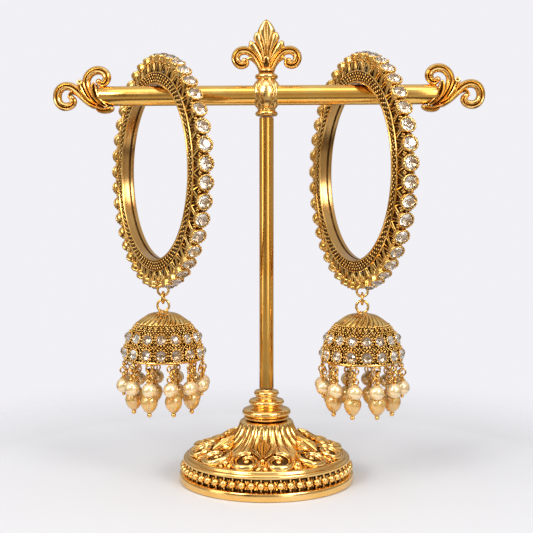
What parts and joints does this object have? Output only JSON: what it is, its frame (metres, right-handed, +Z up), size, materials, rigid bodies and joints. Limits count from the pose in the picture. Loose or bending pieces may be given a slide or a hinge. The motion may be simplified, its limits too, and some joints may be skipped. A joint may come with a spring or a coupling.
{
  "type": "pair of jhumka charm bangles on a t-bar jewellery stand",
  "caption": "Stone-set bangles, each with a swinging bell-shaped jhumka charm and pearl drops, hung on a t-bar jewellery stand with scrolled ends and a leaf finial.",
  "frame": {"origin": "middle of the base's underside, on the surface that the stand rests on", "axes": "+Z up along the post, +X along the bar to the viewer's right, -Y towards the viewer"},
  "size_m": [0.148, 0.0758, 0.1568],
  "materials": {
    "stand_gold": "polished yellow gold plate",
    "antique_gold": "matte antique gold plate, darkened in the recesses",
    "crystal": "clear champagne glass stones in gold cups",
    "pearl": "cream imitation pearl",
    "resin": "translucent peach resin bead"
  },
  "bodies": {
    "stand": {"stand_base": "stand_gold", "post_collar": "stand_gold", "post": "stand_gold", "centre_knob": "stand_gold", "crossbar": "stand_gold", "left_scroll": "stand_gold", "right_scroll": "stand_gold", "leaf_finial": "stand_gold", "left_bangle_band": "antique_gold", "left_bangle_stones": "crystal", "left_bangle_loop": "antique_gold", "right_bangle_band": "antique_gold", "right_bangle_stones": "crystal", "right_bangle_loop": "antique_gold"},
    "left_link": {"left_jump_ring": "antique_gold"},
    "left_jhumka": {"left_jhumka_bell": "antique_gold", "left_pearl_drop_1": "pearl", "left_pearl_drop_2": "pearl", "left_pearl_drop_3": "pearl", "left_pearl_drop_4": "pearl", "left_pearl_drop_5": "pearl", "left_pearl_drop_6": "pearl", "left_pearl_drop_7": "pearl", "left_pearl_drop_8": "pearl", "left_pearl_drop_9": "pearl", "left_pearl_drop_10": "pearl", "left_pearl_drop_11": "pearl", "left_pearl_drop_12": "pearl", "left_oval_drop_1": "resin", "left_oval_drop_2": "resin", "left_oval_drop_3": "resin", "left_oval_drop_4": "resin", "left_oval_drop_5": "resin", "left_oval_drop_6": "resin", "left_oval_drop_7": "resin", "left_oval_drop_8": "resin"},
    "right_link": {"right_jump_ring": "antique_gold"},
    "right_jhumka": {"right_jhumka_bell": "antique_gold", "right_pearl_drop_1": "pearl", "right_pearl_drop_2": "pearl", "right_pearl_drop_3": "pearl", "right_pearl_drop_4": "pearl", "right_pearl_drop_5": "pearl", "right_pearl_drop_6": "pearl", "right_pearl_drop_7": "pearl", "right_pearl_drop_8": "pearl", "right_pearl_drop_9": "pearl", "right_pearl_drop_10": "pearl", "right_pearl_drop_11": "pearl", "right_pearl_drop_12": "pearl", "right_oval_drop_1": "resin", "right_oval_drop_2": "resin", "right_oval_drop_3": "resin", "right_oval_drop_4": "resin", "right_oval_drop_5": "resin", "right_oval_drop_6": "resin", "right_oval_drop_7": "resin", "right_oval_drop_8": "resin"}
  },
  "joints": [
    {"name": "left_link_swing", "type": "hinge", "parent": "stand", "child": "left_link", "pos_m": [-0.03517, -0.00299, 0.06362], "axis": [1, 0, 0], "range_deg": [-30, 30]},
    {"name": "left_jhumka_swing", "type": "hinge", "parent": "left_link", "child": "left_jhumka", "pos_m": [-0.03517, -0.00299, 0.06106], "axis": [0, 1, 0], "range_deg": [-18, 18]},
    {"name": "right_link_swing", "type": "hinge", "parent": "stand", "child": "right_link", "pos_m": [0.03254, -0.00324, 0.06362], "axis": [1, 0, 0], "range_deg": [-30, 30]},
    {"name": "right_jhumka_swing", "type": "hinge", "parent": "right_link", "child": "right_jhumka", "pos_m": [0.03254, -0.00324, 0.06106], "axis": [0, 1, 0], "range_deg": [-18, 18]}
  ]
}
